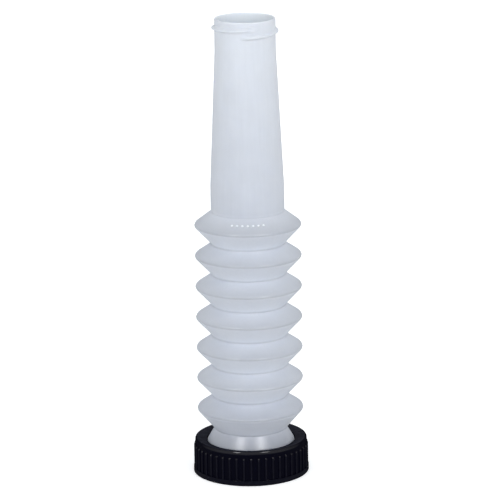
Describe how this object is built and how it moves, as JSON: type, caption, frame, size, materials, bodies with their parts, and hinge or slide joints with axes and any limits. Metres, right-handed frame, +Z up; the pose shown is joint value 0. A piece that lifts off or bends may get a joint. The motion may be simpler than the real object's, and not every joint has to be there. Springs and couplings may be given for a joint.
{
  "type": "flexible pour spout",
  "caption": "Flexible bellows pouring spout of milky plastic with a tapered threaded nozzle, held in a ribbed black screw collar for a container's neck.",
  "frame": {"origin": "centre of the collar's underside", "axes": "+Z up along the spout's axis to its mouth; -Y is the side the thread on the mouth starts from; the spout bends in the XZ plane"},
  "size_m": [0.0706, 0.0706, 0.2814],
  "materials": {
    "natural_polyethylene": "satin, milky translucent, blow-moulded",
    "collar_plastic": "satin, black, injection-moulded",
    "gasket_rubber": "matt rubber"
  },
  "bodies": {
    "collar": {"screw_collar": "collar_plastic"},
    "foot": {"spout_foot": "natural_polyethylene", "sealing_gasket": "gasket_rubber"},
    "fold_1_lower": {"fold_1_lower_wall": "natural_polyethylene"},
    "fold_1_upper": {"fold_1_upper_wall": "natural_polyethylene"},
    "fold_2_lower": {"fold_2_lower_wall": "natural_polyethylene"},
    "fold_2_upper": {"fold_2_upper_wall": "natural_polyethylene"},
    "fold_3_lower": {"fold_3_lower_wall": "natural_polyethylene"},
    "fold_3_upper": {"fold_3_upper_wall": "natural_polyethylene"},
    "fold_4_lower": {"fold_4_lower_wall": "natural_polyethylene"},
    "fold_4_upper": {"fold_4_upper_wall": "natural_polyethylene"},
    "fold_5_lower": {"fold_5_lower_wall": "natural_polyethylene"},
    "fold_5_upper": {"fold_5_upper_wall": "natural_polyethylene"},
    "fold_6_lower": {"fold_6_lower_wall": "natural_polyethylene"},
    "fold_6_upper": {"fold_6_upper_wall": "natural_polyethylene"},
    "fold_7_lower": {"fold_7_lower_wall": "natural_polyethylene"},
    "nozzle": {"nozzle": "natural_polyethylene", "fold_7_upper_wall": "natural_polyethylene"}
  },
  "joints": [
    {"name": "spout_swivel", "type": "hinge", "parent": "collar", "child": "foot", "pos_m": [0, 0, 0.0165], "axis": [0, 0, 1], "continuous": true},
    {"name": "fold_1_bend", "type": "hinge", "parent": "foot", "child": "fold_1_lower", "pos_m": [0, 0, 0.0337], "axis": [0, 1, 0], "range_deg": [-12.86, 12.86], "stiffness_Nm_per_rad": 2, "deforming": ["fold_1_lower_wall"]},
    {"name": "fold_1_squeeze", "type": "slide", "parent": "fold_1_lower", "child": "fold_1_upper", "axis": [0, 0, 1], "range_m": [-0.006, 0.0015], "stiffness_N_per_m": 1500, "deforming": ["fold_1_upper_wall"]},
    {"name": "fold_2_bend", "type": "hinge", "parent": "fold_1_upper", "child": "fold_2_lower", "pos_m": [0, 0, 0.0535], "axis": [0, 1, 0], "range_deg": [-12.86, 12.86], "stiffness_Nm_per_rad": 2, "deforming": ["fold_2_lower_wall"]},
    {"name": "fold_2_squeeze", "type": "slide", "parent": "fold_2_lower", "child": "fold_2_upper", "axis": [0, 0, 1], "range_m": [-0.006, 0.0015], "stiffness_N_per_m": 1500, "deforming": ["fold_2_upper_wall"]},
    {"name": "fold_3_bend", "type": "hinge", "parent": "fold_2_upper", "child": "fold_3_lower", "pos_m": [0, 0, 0.07265], "axis": [0, 1, 0], "range_deg": [-12.86, 12.86], "stiffness_Nm_per_rad": 2, "deforming": ["fold_3_lower_wall"]},
    {"name": "fold_3_squeeze", "type": "slide", "parent": "fold_3_lower", "child": "fold_3_upper", "axis": [0, 0, 1], "range_m": [-0.006, 0.0015], "stiffness_N_per_m": 1500, "deforming": ["fold_3_upper_wall"]},
    {"name": "fold_4_bend", "type": "hinge", "parent": "fold_3_upper", "child": "fold_4_lower", "pos_m": [0, 0, 0.0918], "axis": [0, 1, 0], "range_deg": [-12.86, 12.86], "stiffness_Nm_per_rad": 2, "deforming": ["fold_4_lower_wall"]},
    {"name": "fold_4_squeeze", "type": "slide", "parent": "fold_4_lower", "child": "fold_4_upper", "axis": [0, 0, 1], "range_m": [-0.006, 0.0015], "stiffness_N_per_m": 1500, "deforming": ["fold_4_upper_wall"]},
    {"name": "fold_5_bend", "type": "hinge", "parent": "fold_4_upper", "child": "fold_5_lower", "pos_m": [0, 0, 0.11095], "axis": [0, 1, 0], "range_deg": [-12.86, 12.86], "stiffness_Nm_per_rad": 2, "deforming": ["fold_5_lower_wall"]},
    {"name": "fold_5_squeeze", "type": "slide", "parent": "fold_5_lower", "child": "fold_5_upper", "axis": [0, 0, 1], "range_m": [-0.006, 0.0015], "stiffness_N_per_m": 1500, "deforming": ["fold_5_upper_wall"]},
    {"name": "fold_6_bend", "type": "hinge", "parent": "fold_5_upper", "child": "fold_6_lower", "pos_m": [0, 0, 0.1301], "axis": [0, 1, 0], "range_deg": [-12.86, 12.86], "stiffness_Nm_per_rad": 2, "deforming": ["fold_6_lower_wall"]},
    {"name": "fold_6_squeeze", "type": "slide", "parent": "fold_6_lower", "child": "fold_6_upper", "axis": [0, 0, 1], "range_m": [-0.006, 0.0015], "stiffness_N_per_m": 1500, "deforming": ["fold_6_upper_wall"]},
    {"name": "fold_7_bend", "type": "hinge", "parent": "fold_6_upper", "child": "fold_7_lower", "pos_m": [0, 0, 0.14925], "axis": [0, 1, 0], "range_deg": [-12.86, 12.86], "stiffness_Nm_per_rad": 2, "deforming": ["fold_7_lower_wall"]},
    {"name": "fold_7_squeeze", "type": "slide", "parent": "fold_7_lower", "child": "nozzle", "axis": [0, 0, 1], "range_m": [-0.006, 0.0015], "stiffness_N_per_m": 1500, "deforming": ["fold_7_upper_wall"]}
  ],
  "couplings": [
    {"joint": "fold_2_bend", "follows": "fold_1_bend", "ratio": 1},
    {"joint": "fold_2_squeeze", "follows": "fold_1_squeeze", "ratio": 1},
    {"joint": "fold_3_bend", "follows": "fold_1_bend", "ratio": 1},
    {"joint": "fold_3_squeeze", "follows": "fold_1_squeeze", "ratio": 1},
    {"joint": "fold_4_bend", "follows": "fold_1_bend", "ratio": 1},
    {"joint": "fold_4_squeeze", "follows": "fold_1_squeeze", "ratio": 1},
    {"joint": "fold_5_bend", "follows": "fold_1_bend", "ratio": 1},
    {"joint": "fold_5_squeeze", "follows": "fold_1_squeeze", "ratio": 1},
    {"joint": "fold_6_bend", "follows": "fold_1_bend", "ratio": 1},
    {"joint": "fold_6_squeeze", "follows": "fold_1_squeeze", "ratio": 1},
    {"joint": "fold_7_bend", "follows": "fold_1_bend", "ratio": 1},
    {"joint": "fold_7_squeeze", "follows": "fold_1_squeeze", "ratio": 1}
  ]
}
